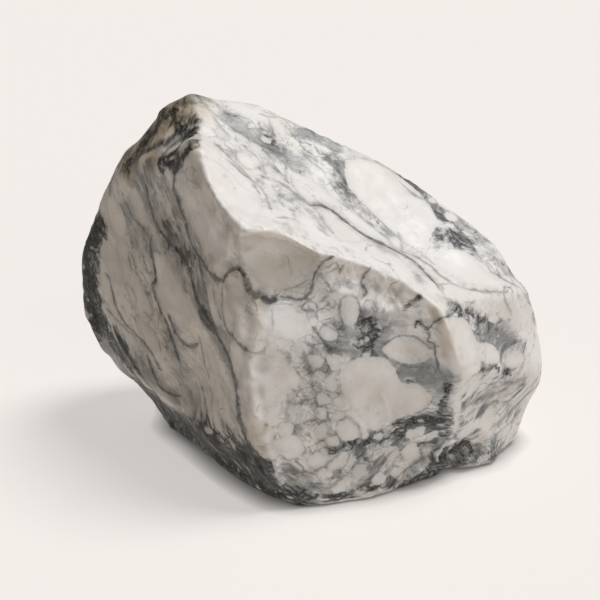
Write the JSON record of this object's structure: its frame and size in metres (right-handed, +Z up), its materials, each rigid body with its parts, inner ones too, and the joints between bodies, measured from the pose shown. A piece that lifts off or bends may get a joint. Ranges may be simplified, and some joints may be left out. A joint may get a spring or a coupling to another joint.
{
  "type": "marble block",
  "caption": "Rough natural block of white marble with grey veins, with a sloping upper face and a flat foot that it lies on.",
  "frame": {"origin": "under the middle of the stone's bounding box, on the plane that it rests on", "axes": "+Z up, +X along the length, from the high peak to the low end, and -Y towards the upright edge"},
  "size_m": [0.49, 0.3654, 0.3619],
  "materials": {
    "marble": "naturally worn, with a soft satin sheen"
  },
  "bodies": {
    "root": {"marble_block": "marble"}
  },
  "joints": []
}
